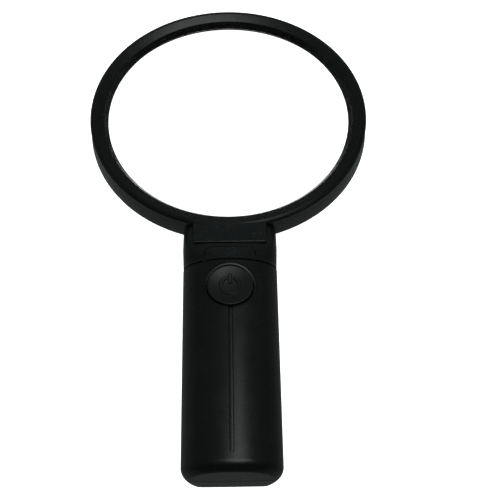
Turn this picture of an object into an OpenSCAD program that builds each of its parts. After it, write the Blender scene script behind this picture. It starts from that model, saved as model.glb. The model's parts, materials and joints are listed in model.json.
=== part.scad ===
// Illuminated hand magnifier, lying on its back.
// X runs across it, +Y runs from the handle to the lens, +Z is its front face.
// The origin is below the middle of its length, on the surface that it lies on. Millimetres.

/* [Head] */
// Outer radius of the lens ring, at its back
ring_r = 76.6; // [76.2:0.1:77.2]
// How much the ring's wall narrows towards the front
ring_draft = 0.4; // [0.2:0.1:0.6]
// Distance from the lens centre to the butt of the handle
reach = 213.8; // [213.4:0.1:216]
// Distance from the lens centre to the seam between neck and handle
seam_reach = 100.8; // [100.4:0.1:101.2]
// Radius of the clear opening in the bezel
opening_r = 66.4; // [66.2:0.1:66.8]
// Height of the ring's side wall, up to the bezel's seam
ring_wall_h = 11; // [10.8:0.1:11.2]
// Fall of the neck towards the ring, as a slope
neck_fall = 0.3226; // [0.30:0.0001:0.34]
// Half width of the flat neck plate at the handle side
plate_half_w = 18.7; // [17:0.1:19]

/* [Lens] */
// Lens radius
lens_r = 69.5; // [69.4:0.05:69.55]
// Lens thickness at its edge
lens_edge_t = 2.3; // [2:0.1:2.4]
// Rise of the front surface above the edge
lens_front_rise = 9.5; // [7:0.1:9.6]
// Fall of the back surface below the edge
lens_back_rise = 3.7; // [2:0.1:3.8]

/* [Handle] */
// Width of the handle
handle_w = 47.8; // [47.6:0.1:48.5]
// Height of the shells' parting line above the back
part_z = 9.7; // [9.6:0.1:9.8]
// Height of the front crown above the parting line
crown_h = 12.3; // [12.2:0.1:12.6]
// Wall thickness of the shells
wall = 2; // [1.8:0.1:2.1]
// Distance from the handle seam to the front edge of the battery door
door_start = 38; // [37.5:0.5:38.5]

/* [Button] */
// Distance from the handle seam to the button centre
button_back = 15.3; // [15:0.1:15.7]
// Button radius
button_r = 11.3; // [11:0.1:11.4]
// Gap around the button
button_gap = 0.5; // [0.3:0.1:0.6]

/* [Batteries] */
// Radius of a AAA cell
cell_r = 5.25; // [5.1:0.05:5.25]
// Length of a AAA cell with its button end
cell_l = 44.5; // [43.5:0.1:44.5]
// Distance between cell centres
cell_pitch = 11.6; // [11.4:0.1:11.6]

/* [Hidden] */

$fn = 96;
tiny = 0.05;

// Places along the handle
ring_y = (reach - ring_r) / 2;
seam_y = ring_y - seam_reach;
butt_y = ring_y - reach;
door_y = seam_y - door_start;
button_y = seam_y - button_back;
seam_gap = 0.8;

// Handle section
half_w = handle_w / 2;
crown_z = part_z + crown_h;
back_corner = 8;
arc_steps = 36;
corner_steps = 8;

// Butt of the handle
butt_round_r = 7.5;
butt_round_a = 47;
butt_draft = 0.4;
butt_back_r = 2.5;
butt_corner_r = 7;
butt_crown = 0.35;

// Shallow channel from the button towards the butt
groove_half_w = 1.05;
groove_d = 0.6;
groove_y = ring_y - 203.4;

// Grip ribs cut in the battery door
grip_w = 22;
grip_count = 5;
grip_pitch = 3;
grip_l = 1.2;
grip_d = 0.5;
grip_back = 12;

// Bezel
bezel_top = 13.45;
bezel_lip_z = 8.2;
bezel_lip_edge = 8.75;
bezel_edge_r = 68.8;
bezel_edge_z = 11.8;
ridge_r = 74;
bezel_r = ring_r - ring_draft;
spigot_r = 73.6;
spigot_t = 2;
spigot_z = 5;

// Housing ring
base_t = 2.2;
back_r = 71.2;
seat_r = 68.9;
seat_z = 4.2;
seat_wall_r = lens_r + 0.2;
seat_wall_t = 1.7;
seat_wall_z = 7;
lens_z = 4.5;

// Neck plate
slope_a = atan(neck_fall);
ridge_y = ring_y - 88.2;
plate_t = 1.8;
plate_skirt = 6.5;
plate_end_skirt = 3.2;
plate_flare = 0.9;
neck_drop = 0.5;
neck_full = 4;

// Neck tab
tab_half_w = 12.6;
tab_top_y = ring_y - 91.6;
tab_corner_r = 4;
tab_t = 1.3;
tab_gap = 0.4;

// Neck tongue and screws
tongue_half_w = 17.5;
tongue_l = 7.3;
tongue_z = 6.7;
screw_x = 14;
neck_screw_y = seam_y - 4.6;
mid_screw_y = seam_y - 32.6;
screw_r = 1.1;
screw_head_r = 2;
boss_r = 2.6;
pilot_r = 0.9;
tray_screw_x = 17;
tray_screw_y = door_y - 3;

// Lamps
led_x = 9;
led_y = ring_y - 78;
led_r = 2.5;
led_flange_r = 2.9;
led_tip_z = 0.6;
led_flange_z = 8;
led_board_z = 9;
led_board_t = 1.2;
lead_x = 1.27;
lead_r = 0.25;

// Switch and main board
board_post_x = 8;
board_post_r = 1.6;
board_post_in = 2.5;
board_half_w = 10.3;
board_y0 = seam_y - 34.5;
board_y1 = seam_y - 8;
board_z = 7.8;
board_t = 1.6;
switch_w = 8;
switch_h = 4.2;
plunger_r = 2.1;
plunger_fit = 0.05;
plunger_z = 12;
plunger_bore_r = 1.5;
plunger_bore_d = 2.8;
switch_spring_r = 1.15;
switch_spring_z = board_z + board_t + 1 + 0.2;
switch_spring_top = plunger_z + 1.6;
cap_post_z = 16.25;
cap_flange_r = 12.9;
cap_flange_z = 16;
cap_flange_t = 1.1;
cap_rim_z = 21.9;
cap_dish_r = button_r - 0.4;
cap_dish_d = 1.2;
cap_dish_z = cap_rim_z - cap_dish_d;
cap_wall_r = 9.7;
cap_post_r = 2.5;
icon_r = 4.6;
icon_half_w = 0.75;
icon_gap = 2.2;
icon_bar_y = 0.9;
icon_bar_l = 5.6;
icon_h = 0.3;
rim_boss_z = cap_flange_z + cap_flange_t + 0.3;

// Driver parts
driver_chip = [5, 4, 1.4];
capacitor = [1.6, 2.2, 0.8];
capacitor_pitch = 3;
coil_x = 4;
coil_r = 2.4;
coil_h = 2.6;

// Battery tray
cell_z = 10;
bay_r = cell_r + 0.2;
tray_half_w = 18.4;
tray_y1 = door_y - 6;
tray_y0 = tray_y1 - 58;
tray_top = 16.6;
tray_end_t = 2;
spring_l = 6;
contact_w = 7.4;
rail_z = 7.1;
rail_t = 1.2;
rail_out = 20.6;
door_gap = 0.15;
spring_wire_r = 0.3;
contact_t = 0.5;
nub_r = 1.9;
nub_l = 0.8;

// Wires, as routes on the right side
wire_r = 0.6;
led_route = [
    [3, -42, 10], [3, -39, 12], [4, -35, 13], [5, -28, 12.5],
    [4, -21, 12], [3, -15, 11.5], [3, -12.5, 10.8]
];
battery_route = [
    [4.5, -64.5, 10], [4.5, -66.5, 12], [7, -69.5, 13],
    [10, -72.5, 12.6], [11.6, -74.9, 12.2], [11.6, -75.6, 12.2]
];

// Points of a circular arc
function arc(cx, cy, r, a0, a1, n) =
    [for (i = [0:n]) let (a = a0 + (a1 - a0) * i / n) [cx + r * cos(a), cy + r * sin(a)]];

// One coordinate of a rounded outline: full = 2 for an ellipse, more for a squarer one
function rounded(size, unit, full) = size * sign(unit) * pow(abs(unit), 2 / full);

// Handle section about its parting line: rounded front, flat back with elliptical corners
function section(a, front, back, corner, full = 2) = concat(
    [for (i = [0:arc_steps]) let (t = 180 * i / arc_steps)
        [rounded(a, cos(t), full), rounded(front, sin(t), full)]],
    [for (i = [1:corner_steps]) let (t = 90 * i / corner_steps)
        [-(a - corner) - corner * cos(t), -back * sin(t)]],
    [for (i = [0:corner_steps - 1]) let (t = 90 * i / corner_steps)
        [(a - corner) + corner * sin(t), -back * cos(t)]]
);

function handle_section(inset) =
    section(half_w - inset, crown_h - inset, part_z - inset, back_corner - inset * 0.9);

// Side profile, as Y and Z, with its round butt
function side_profile(inset) = let (
    r = butt_round_r - inset,
    c = butt_y + butt_draft + butt_round_r * sin(butt_round_a),
    back_r = max(butt_back_r - inset, 0.5)
) concat(
    [[seam_y + 10, -1 + inset], [seam_y + 10, crown_z + 1]],
    [[c, crown_z + 1]],
    [for (i = [0:corner_steps]) let (t = butt_round_a * i / corner_steps)
        [c - r * sin(t), crown_z - butt_round_r + r * cos(t)]],
    inset > 0
        ? [[butt_y + butt_draft + inset, crown_z - butt_round_r + r * cos(butt_round_a) - inset / 2]]
        : [],
    [[butt_y + inset, part_z]],
    arc(butt_y + inset + back_r, inset + back_r, back_r, 180, 270, corner_steps)
);

// Plan outline, with its round corners and slightly bowed butt
function plan_profile(inset) = let (
    r = butt_corner_r - inset,
    c = half_w - butt_corner_r
) concat(
    [[half_w + 1, seam_y + 10], [half_w + 1, butt_y + butt_corner_r + butt_crown]],
    arc(c, butt_y + butt_corner_r + butt_crown, r, 0, -90, corner_steps),
    [for (i = [1:7]) let (x = c * (1 - i / 4))
        [x, butt_y + inset + butt_crown * pow(x / c, 2)]],
    arc(-c, butt_y + butt_corner_r + butt_crown, r, -90, -180, corner_steps),
    [[-half_w - 1, butt_y + butt_corner_r + butt_crown], [-half_w - 1, seam_y + 10]]
);

// Extrudes an X-Z outline along Y
module along_y(y0, y1) {
    translate([0, y1, 0])
        rotate([90, 0, 0])
            linear_extrude(y1 - y0)
                children();
}

// Whole handle from y0 to y1, shrunk by inset on every side
module handle_body(inset, y0, y1) {
    intersection() {
        along_y(y0, y1)
            translate([0, part_z])
                polygon(handle_section(inset));
        rotate([90, 0, 90])
            linear_extrude(handle_w + 4, center = true)
                polygon(side_profile(inset));
        linear_extrude(crown_z + 4)
            polygon(plan_profile(inset));
    }
}

module slab(x, y0, y1, z0, z1) {
    translate([-x, y0, z0])
        cube([2 * x, y1 - y0, z1 - z0]);
}

module post(x, y, r, z0, z1) {
    translate([x, y, z0])
        cylinder(r = r, h = z1 - z0);
}

module both_sides() {
    children();
    mirror([1, 0, 0])
        children();
}

module ring(points) {
    translate([0, ring_y, 0])
        rotate_extrude($fn = 240)
            polygon(points);
}

module disc(r, z0, z1) {
    translate([0, ring_y, z0])
        cylinder(r = r, h = z1 - z0, $fn = 240);
}

// Frame whose Y runs down the neck's slope, from the crown at the seam
module on_slope() {
    translate([0, seam_y, crown_z])
        rotate([-slope_a, 0, 0])
            children();
}

// Elliptical bar that follows the neck's slope, with its crown drop below the plate's plane
module slope_bar(a, drop) {
    b = (crown_h - drop) * cos(slope_a);
    translate([0, seam_y, part_z])
        rotate([-(90 + slope_a), 0, 0])
            translate([0, 0, -20])
                linear_extrude(70)
                    polygon([for (i = [0:2 * arc_steps - 1])
                        [a * cos(180 * i / arc_steps), b * sin(180 * i / arc_steps)]]);
}

// Thin slice of the neck at y
module neck_slice(y, inset, back_corner_w, full) {
    mid_z = part_z - neck_fall * (y - seam_y);
    floor_z = min(mid_z, inset);
    along_y(y - tiny, y)
        translate([0, mid_z])
            polygon(section(
                half_w - inset, crown_h - neck_drop - inset, mid_z - floor_z, back_corner_w, full
            ));
}

// Neck body, from the seam into the ring
module neck_body(inset) {
    hull() {
        neck_slice(seam_y + seam_gap / 2 - (inset > 0 ? 1 : 0), inset, back_corner - inset * 0.9, 2);
        neck_slice(ridge_y, inset, back_corner / 2, neck_full);
    }
    hull() {
        neck_slice(ridge_y, inset, back_corner / 2, neck_full);
        neck_slice(ring_y - 71.8, inset, 0.5, neck_full);
    }
}

// Outline of the neck tab, wider by grow
module tab_outline(grow) {
    r = tab_corner_r + grow;
    polygon(concat(
        [[-tab_half_w - grow, seam_y], [tab_half_w + grow, seam_y]],
        arc(tab_half_w - tab_corner_r, tab_top_y - tab_corner_r, r, 0, 90, corner_steps),
        arc(-tab_half_w + tab_corner_r, tab_top_y - tab_corner_r, r, 90, 180, corner_steps)
    ));
}

module front_bezel() {
    color([0.06, 0.065, 0.065]) {
        ring([
            [opening_r, bezel_lip_edge], [bezel_edge_r, bezel_edge_z],
            [ridge_r - 0.6, bezel_top - 0.12], [ridge_r, bezel_top], [ridge_r + 0.5, bezel_top - 0.05],
            [bezel_r - 0.6, bezel_top - 0.7], [bezel_r, bezel_top - 1.3], [bezel_r, ring_wall_h + tiny],
            [spigot_r, ring_wall_h + tiny], [spigot_r, spigot_z], [spigot_r - spigot_t, spigot_z],
            [spigot_r - spigot_t, ring_wall_h - 1], [seat_wall_r + 0.6, bezel_lip_z], [opening_r, bezel_lip_z]
        ]);
        difference() {
            on_slope()
                linear_extrude(plate_skirt * 2, center = true)
                    polygon(plate_outline(0));
            on_slope()
                translate([0, 0, plate_skirt])
                    cube([100, 100, plate_skirt * 2], center = true);
            on_slope()
                slab(plate_half_w - plate_t, plate_near() + plate_t, 60, -3 * plate_skirt, -plate_t);
            on_slope()
                slab(
                    plate_half_w + 2, plate_near() - 1, plate_near() + plate_t,
                    -3 * plate_skirt, -plate_end_skirt
                );
            disc(spigot_r - spigot_t / 2, -1, crown_z);
        }
    }
}

// Plate's lower edge, along the slope
function plate_near() = (ridge_y - seam_y) / cos(slope_a);

function plate_outline(grow) = let (far = plate_near() + 22) [
    [-plate_half_w - grow, plate_near() - grow], [plate_half_w + grow, plate_near() - grow],
    [plate_half_w + plate_flare + grow, far], [-plate_half_w - plate_flare - grow, far]
];

module head_housing() {
    color([0.055, 0.06, 0.06]) {
        difference() {
            union() {
                ring([
                    [seat_r, seat_z - 0.9], [back_r - 0.4, 0.4], [back_r, 0], [ring_r - 0.8, 0],
                    [ring_r, 0.8], [bezel_r - 0.2, ring_wall_h - tiny],
                    [spigot_r + 0.3, ring_wall_h - tiny],
                    [spigot_r + 0.3, base_t], [seat_wall_r + seat_wall_t, base_t],
                    [seat_wall_r + seat_wall_t, seat_wall_z], [seat_wall_r, seat_wall_z],
                    [seat_wall_r, seat_z], [seat_r, seat_z]
                ]);
                difference() {
                    neck_body(0);
                    neck_body(wall);
                    disc(spigot_r + 1, -1, crown_z);
                    disc(bezel_r + 0.15, ring_wall_h - tiny, crown_z);
                }
                slab(half_w - wall, seam_y + seam_gap / 2, seam_y + wall + seam_gap / 2, wall, tongue_z + 3);
                slab(tongue_half_w, seam_y - tongue_l, seam_y + seam_gap, tongue_z, part_z - 0.15);
                both_sides()
                    post(led_x, led_y, led_r + 1.4, 0, 3.4);
                post(0, led_y, boss_r, 1, led_board_z - tiny);
            }
            difference() {
                union() {
                    on_slope()
                        linear_extrude(plate_skirt * 2 + 1, center = true)
                            polygon(plate_outline(0.15));
                    slab(plate_half_w - plate_t, ridge_y + wall, ring_y - 70, base_t, crown_z);
                }
                disc(seat_wall_r + seat_wall_t + 0.1, -1, crown_z);
                slab(half_w, ridge_y - 1, ring_y - 60, -1, base_t);
                both_sides()
                    post(led_x, led_y, led_r + 1.4, 0, 3.4);
                post(0, led_y, boss_r, 1, led_board_z - tiny);
            }
            difference() {
                translate([0, 0, part_z])
                    linear_extrude(crown_z)
                        tab_outline(tab_gap);
                slope_bar(half_w, tab_t + 0.2);
            }
            both_sides() {
                post(led_x, led_y, led_r + 0.1, -1, 5);
                post(screw_x, neck_screw_y, screw_r + 0.2, 0, part_z);
            }
            post(0, led_y, pilot_r, 4, crown_z);
        }
    }
}

module lens() {
    front_r = (pow(lens_r, 2) + pow(lens_front_rise, 2)) / (2 * lens_front_rise);
    back_r = (pow(lens_r, 2) + pow(lens_back_rise, 2)) / (2 * lens_back_rise);
    color([0.85, 0.93, 0.95, 0.35])
        translate([0, ring_y, 0])
            intersection() {
                cylinder(r = lens_r, h = 3 * crown_z, center = true, $fn = 240);
                translate([0, 0, lens_z + lens_edge_t + lens_front_rise - front_r])
                    sphere(r = front_r, $fn = 360);
                translate([0, 0, lens_z - lens_back_rise + back_r])
                    sphere(r = back_r, $fn = 360);
            }
}

module lens_gasket() {
    color([0.1, 0.1, 0.1])
        ring([
            [opening_r + 0.9, bezel_lip_z - 0.75], [lens_r - 0.3, bezel_lip_z - 0.75],
            [lens_r - 0.3, bezel_lip_z - tiny], [opening_r + 0.9, bezel_lip_z - tiny]
        ]);
}

module neck_tab() {
    color([0.06, 0.065, 0.065])
        difference() {
            intersection() {
                translate([0, 0, part_z])
                    linear_extrude(crown_z)
                        tab_outline(0);
                slope_bar(half_w, 0);
                slab(half_w, seam_y + seam_gap / 2, ridge_y, 0, 2 * crown_z);
            }
            slope_bar(half_w, tab_t);
        }
}

// Round lamp with a dome at the bottom, a flange at the top and two leads
module led(x) {
    translate([x, led_y, 0]) {
        translate([0, 0, led_tip_z + led_r])
            sphere(r = led_r);
        translate([0, 0, led_tip_z + led_r])
            cylinder(r = led_r, h = led_board_z - led_tip_z - led_r - tiny);
        translate([0, 0, led_flange_z])
            cylinder(r = led_flange_r, h = led_board_z - led_flange_z - tiny);
        for (side = [-1, 1])
            translate([side * lead_x, 0, led_flange_z])
                cylinder(r = lead_r, h = led_board_z + led_board_t + 0.8 - led_flange_z, $fn = 24);
    }
}

module led_left() {
    color([0.92, 0.95, 0.98])
        led(-led_x);
}

module led_right() {
    color([0.92, 0.95, 0.98])
        led(led_x);
}

module led_board() {
    color([0.05, 0.3, 0.15])
        difference() {
            slab(14, led_y - 5, led_y + 3.6, led_board_z, led_board_z + led_board_t);
            for (x = [-led_x, led_x], side = [-1, 1])
                translate([x + side * lead_x, led_y, led_board_z - 1])
                    cylinder(r = lead_r + 0.1, h = 4, $fn = 24);
            post(0, led_y, screw_r + 0.1, led_board_z - 1, led_board_z + 4);
        }
}

module led_board_screw() {
    color("silver")
        difference() {
            union() {
                post(
                    0, led_y, screw_head_r - 0.2,
                    led_board_z + led_board_t + tiny, led_board_z + led_board_t + 1.3
                );
                post(0, led_y, pilot_r - 0.05, 4.5, led_board_z + led_board_t + 1);
            }
            cross_recess(0, led_y, led_board_z + led_board_t + 0.7, 2);
        }
}

// Cross recess of a screw head, cut from z upwards
module cross_recess(x, y, z, w) {
    translate([x, y, z + 1])
        for (a = [0, 90])
            rotate([0, 0, a])
                cube([w, 0.5, 2], center = true);
}

// Chip parts beside the lamps
module led_resistors() {
    color([0.12, 0.12, 0.13])
        for (x = [-4.5, 4.5])
            translate([x - 1.6, led_y - 0.8, led_board_z + led_board_t])
                cube([3.2, 1.6, 0.6]);
}

module handle_front_shell() {
    color([0.06, 0.065, 0.065])
        difference() {
            union() {
                intersection() {
                    difference() {
                        handle_body(0, butt_y - 1, seam_y - seam_gap / 2);
                        handle_body(wall, butt_y - 1, seam_y + 1);
                    }
                    slab(half_w + 1, butt_y - 1, seam_y, part_z, crown_z + 1);
                }
                intersection() {
                    handle_body(wall / 2, butt_y - 1, seam_y - 1);
                    union() {
                        post(0, button_y, button_r + button_gap + 2.4, rim_boss_z, crown_z);
                        both_sides() {
                            post(screw_x, neck_screw_y, boss_r, part_z, crown_z);
                            post(screw_x, mid_screw_y, boss_r, part_z, crown_z);
                            post(tray_screw_x, tray_screw_y, boss_r, part_z + 0.4, crown_z);
                            post(
                                board_post_x, board_y0 + board_post_in, board_post_r,
                                board_z + board_t + tiny, crown_z
                            );
                        }
                    }
                }
            }
            post(0, button_y, button_r + button_gap, part_z, crown_z + 1);
            translate([0, button_y, crown_z - 2.4])
                cylinder(r1 = button_r + button_gap, r2 = button_r + button_gap + 1.5, h = 2.8);
            slab(groove_half_w, groove_y, button_y - button_r, crown_z - groove_d, crown_z + 1);
            post(0, groove_y, groove_half_w, crown_z - groove_d, crown_z + 1);
            both_sides() {
                post(screw_x, neck_screw_y, pilot_r, part_z - 1, 15);
                post(screw_x, mid_screw_y, pilot_r, part_z - 1, 15);
                post(tray_screw_x, tray_screw_y, pilot_r, part_z - 1, 14.2);
            }
        }
}

module handle_rear_shell() {
    color([0.055, 0.06, 0.06])
        difference() {
            union() {
                intersection() {
                    difference() {
                        handle_body(0, butt_y - 1, seam_y - seam_gap / 2);
                        handle_body(wall, butt_y - 1, seam_y + 1);
                    }
                    slab(half_w + 1, door_y + door_gap, seam_y, -1, part_z - tiny);
                }
                both_sides() {
                    post(screw_x, neck_screw_y, boss_r + 0.8, 0.5, tongue_z - tiny);
                    post(screw_x, mid_screw_y, boss_r + 0.8, 0.5, part_z - tiny);
                    post(board_post_x, board_y0 + board_post_in, board_post_r, 1, board_z - tiny);
                    post(board_post_x, board_y1 - board_post_in, board_post_r, 1, board_z - tiny);
                }
            }
            both_sides() {
                screw_hole(screw_x, neck_screw_y);
                screw_hole(screw_x, mid_screw_y);
            }
        }
}

// Counterbored clearance hole from the back
module screw_hole(x, y) {
    post(x, y, screw_head_r + 0.3, -1, 2.6);
    post(x, y, screw_r + 0.2, -1, part_z + 1);
}

module battery_door() {
    color([0.055, 0.06, 0.06])
        difference() {
            union() {
                intersection() {
                    difference() {
                        handle_body(0, butt_y - 1, door_y);
                        handle_body(wall, butt_y - 1, door_y + 1);
                    }
                    slab(half_w + 1, butt_y - 1, door_y - door_gap, -1, part_z - 0.2);
                }
                both_sides()
                    translate([rail_out - 1.4, tray_y0 + 2, rail_z + 0.3])
                        cube([half_w - wall / 2 - rail_out + 1.4, tray_y1 - tray_y0 - 4, 1.4]);
            }
            for (i = [0:grip_count - 1])
                translate([0, door_y - grip_back - grip_pitch * i, 0])
                    cube([grip_w, grip_l, 2 * grip_d], center = true);
        }
}

// Broken ring with an upright bar in its gap
module icon() {
    difference() {
        circle(r = icon_r + icon_half_w);
        circle(r = icon_r - icon_half_w);
        translate([-icon_gap, 0])
            square([2 * icon_gap, 2 * icon_r]);
    }
    translate([-icon_half_w, icon_bar_y])
        square([2 * icon_half_w, icon_bar_l]);
}

// Dished top of the button, raised by lift
function dish(lift) = [
    for (i = [0:corner_steps]) let (r = cap_dish_r * (1 - i / corner_steps))
        [r, cap_dish_z + lift + cap_dish_d * pow(r / cap_dish_r, 2)]
];

module button_cap() {
    color([0.065, 0.07, 0.07])
        translate([0, button_y, 0]) {
            rotate_extrude()
                polygon(concat(
                    [[0, cap_post_z], [cap_post_r, cap_post_z]],
                    [[cap_post_r, cap_dish_z - 1.5], [cap_wall_r, cap_dish_z - 1.5]],
                    [[cap_wall_r, cap_flange_z], [cap_flange_r, cap_flange_z]],
                    [[cap_flange_r, cap_flange_z + cap_flange_t], [button_r, cap_flange_z + cap_flange_t]],
                    [[button_r, cap_rim_z - 0.4], [button_r - 0.12, cap_rim_z - 0.12]],
                    dish(0)
                ));
            intersection() {
                translate([0, 0, cap_dish_z - 0.5])
                    linear_extrude(3)
                        icon();
                rotate_extrude()
                    polygon(concat([[0, cap_dish_z - 1], [cap_dish_r, cap_dish_z - 1]], dish(icon_h)));
            }
        }
}

module switch_housing() {
    base = board_z + board_t;
    color([0.12, 0.12, 0.13])
        translate([0, button_y, 0])
            difference() {
                translate([-switch_w / 2, -switch_w / 2, base])
                    cube([switch_w, switch_w, switch_h]);
                translate([0, 0, base + 1])
                    cylinder(r = plunger_r + plunger_fit, h = switch_h);
            }
}

// The plunger is bored from below for its spring
module switch_plunger() {
    color([0.85, 0.85, 0.8])
        difference() {
            post(0, button_y, plunger_r, plunger_z, cap_post_z - tiny);
            post(0, button_y, plunger_bore_r, plunger_z - 1, plunger_z + plunger_bore_d);
        }
}

// Round wire swept along points, with n sides
module sweep(points, r, n = 8) {
    last = len(points) - 1;
    rings = [for (i = [0:last]) let (
        along = points[min(i + 1, last)] - points[max(i - 1, 0)],
        d = along / norm(along),
        ref = abs(d[2]) > 0.9 ? [1, 0, 0] : [0, 0, 1],
        u0 = cross(ref, d),
        u = u0 / norm(u0),
        v = cross(d, u)
    ) for (k = [0:n - 1]) points[i] + r * (cos(360 * k / n) * u + sin(360 * k / n) * v)];
    polyhedron(
        rings,
        concat(
            [[for (k = [n - 1:-1:0]) k]],
            [for (i = [0:last - 1], k = [0:n - 1]) let (m = (k + 1) % n)
                [i * n + k, i * n + m, (i + 1) * n + m, (i + 1) * n + k]],
            [[for (k = [0:n - 1]) last * n + k]]
        ),
        convexity = 10
    );
}

// Points of a coil about Z, whose radius goes from r0 to r1
function coil(r0, r1, z0, z1, turns, steps) =
    [for (i = [0:turns * steps]) let (t = i / (turns * steps), r = r0 + (r1 - r0) * t)
        [r * cos(360 * turns * t), r * sin(360 * turns * t), z0 + (z1 - z0) * t]];

module switch_spring() {
    color("silver")
        translate([0, button_y, 0])
            sweep(coil(switch_spring_r, switch_spring_r, switch_spring_z, switch_spring_top, 4, 12), 0.15, 6);
}

module circuit_board() {
    color([0.05, 0.3, 0.15])
        slab(board_half_w, board_y0, board_y1, board_z, board_z + board_t);
}

// Driver chip, coil and capacitors behind the switch
module driver_parts() {
    base = board_z + board_t;
    color([0.12, 0.12, 0.13]) {
        translate([-capacitor_pitch * 2, button_y - 13, base])
            cube(driver_chip);
        post(coil_x, button_y - 11, coil_r, base, base + coil_h);
        for (i = [-2:1])
            translate([capacitor_pitch * i, button_y - 8, base])
                cube(capacitor);
    }
}

module battery_tray() {
    color([0.1, 0.1, 0.1])
        difference() {
            union() {
                intersection() {
                    slab(tray_half_w, tray_y0, tray_y1, 4.6, tray_top);
                    handle_body(wall + 0.3, butt_y, seam_y);
                }
                both_sides() {
                    translate([tray_half_w - 1, tray_y0, rail_z - rail_t])
                        cube([rail_out - tray_half_w + 1, tray_y1 - tray_y0, rail_t]);
                    post(tray_screw_x, tray_screw_y, boss_r, 8.2, part_z + 0.35);
                    translate([tray_screw_x - boss_r, tray_y1 - 1, 8.2])
                        cube([2 * boss_r - 1, tray_screw_y - tray_y1 + 1, part_z + 0.35 - 8.2]);
                }
            }
            for (x = [-cell_pitch, 0, cell_pitch]) {
                along_y(tray_y0 + tray_end_t, tray_y1 - tray_end_t)
                    translate([x, cell_z])
                        circle(r = bay_r);
                translate([x - bay_r, tray_y0 + tray_end_t, 0])
                    cube([2 * bay_r, tray_y1 - tray_y0 - 2 * tray_end_t, cell_z]);
            }
            both_sides()
                post(tray_screw_x, tray_screw_y, screw_r + 0.1, 0, crown_z);
        }
}

// Cell lying along Y with its button end towards dir
module cell(x, dir) {
    mid_y = (tray_y0 + tray_y1) / 2 + dir * (spring_l - 1) / 2;
    translate([x, mid_y, cell_z])
        rotate([-90 * dir, 0, 0])
            rotate_extrude()
                polygon([
                    [0, -cell_l / 2], [cell_r - 0.4, -cell_l / 2], [cell_r, -cell_l / 2 + 0.4],
                    [cell_r, cell_l / 2 - nub_l - 0.4], [cell_r - 0.4, cell_l / 2 - nub_l],
                    [nub_r, cell_l / 2 - nub_l], [nub_r, cell_l / 2], [0, cell_l / 2]
                ]);
}

module battery_left() {
    color([0.75, 0.55, 0.2])
        cell(-cell_pitch, 1);
}

module battery_middle() {
    color([0.75, 0.55, 0.2])
        cell(0, -1);
}

module battery_right() {
    color([0.75, 0.55, 0.2])
        cell(cell_pitch, 1);
}

// Conical springs at the flat end of each cell
module battery_springs() {
    color("silver")
        for (side = [[-cell_pitch, 1], [0, -1], [cell_pitch, 1]]) {
            mid_y = (tray_y0 + tray_y1) / 2 + side[1] * (spring_l - 1) / 2;
            translate([side[0], mid_y - side[1] * (cell_l / 2 + 0.35), cell_z])
                rotate([90 * side[1], 0, 0])
                    sweep(coil(2.2, 4, 0, spring_space(), 4, 12), spring_wire_r, 6);
        }
}

// Room between a cell's flat end and the contact plate
function spring_space() =
    (tray_y1 - tray_y0) / 2 - tray_end_t - cell_l / 2 + (spring_l - 1) / 2 - contact_t - 0.7;

module contact_plates() {
    color("silver")
        for (
            x = [-cell_pitch, 0, cell_pitch],
            y = [tray_y0 + tray_end_t + tiny, tray_y1 - tray_end_t - contact_t]
        )
            translate([x - contact_w / 2, y, cell_z - contact_w / 2])
                cube([contact_w, contact_t - tiny, contact_w]);
}

// Self-tapping screw whose head faces the back
module screw(x, y, head_z, tip_z) {
    difference() {
        union() {
            post(x, y, screw_head_r, head_z, head_z + 1.6);
            post(x, y, pilot_r - 0.05, head_z + 1, tip_z);
        }
        mirror([0, 0, 1])
            cross_recess(x, y, -head_z - 0.8, 2.2);
    }
}

module case_screws() {
    color([0.2, 0.2, 0.2])
        both_sides() {
            screw(screw_x, neck_screw_y, 0.95, 14);
            screw(screw_x, mid_screw_y, 0.95, 14);
        }
}

module tray_screws() {
    color("silver")
        both_sides()
            screw(tray_screw_x, tray_screw_y, 6.55, 13.5);
}

// Point on a smooth curve through four points
function between(a, b, c, d, t) =
    0.5 * (2 * b + (c - a) * t + (2 * a - 5 * b + 4 * c - d) * t * t + (3 * b - a - 3 * c + d) * t * t * t);

// Smooth route through points, with steps between each pair
function route(p, steps) = let (last = len(p) - 1) concat(
    [for (i = [0:last - 1], k = [0:steps - 1])
        between(p[max(i - 1, 0)], p[i], p[i + 1], p[min(i + 2, last)], k / steps)],
    [p[last]]
);

module wire(p) {
    sweep(route(p, 4), wire_r);
}

function mirrored(p) = [for (q = p) [-q[0], q[1], q[2]]];

module led_wire_red() {
    color("red")
        wire(led_route);
}

module led_wire_black() {
    color([0.1, 0.1, 0.1])
        wire(mirrored(led_route));
}

module battery_wire_red() {
    color("red")
        wire(battery_route);
}

module battery_wire_black() {
    color([0.1, 0.1, 0.1])
        wire(mirrored(battery_route));
}

front_bezel();
head_housing();
lens();
lens_gasket();
neck_tab();
led_left();
led_right();
led_board();
led_board_screw();
led_resistors();
handle_front_shell();
handle_rear_shell();
battery_door();
button_cap();
switch_housing();
switch_plunger();
switch_spring();
circuit_board();
driver_parts();
battery_tray();
battery_left();
battery_middle();
battery_right();
battery_springs();
contact_plates();
case_screws();
tray_screws();
led_wire_red();
led_wire_black();
battery_wire_red();
battery_wire_black();
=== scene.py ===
import json
import math

import bmesh
import bpy
import numpy as np
from mathutils import Matrix, Vector


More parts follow.
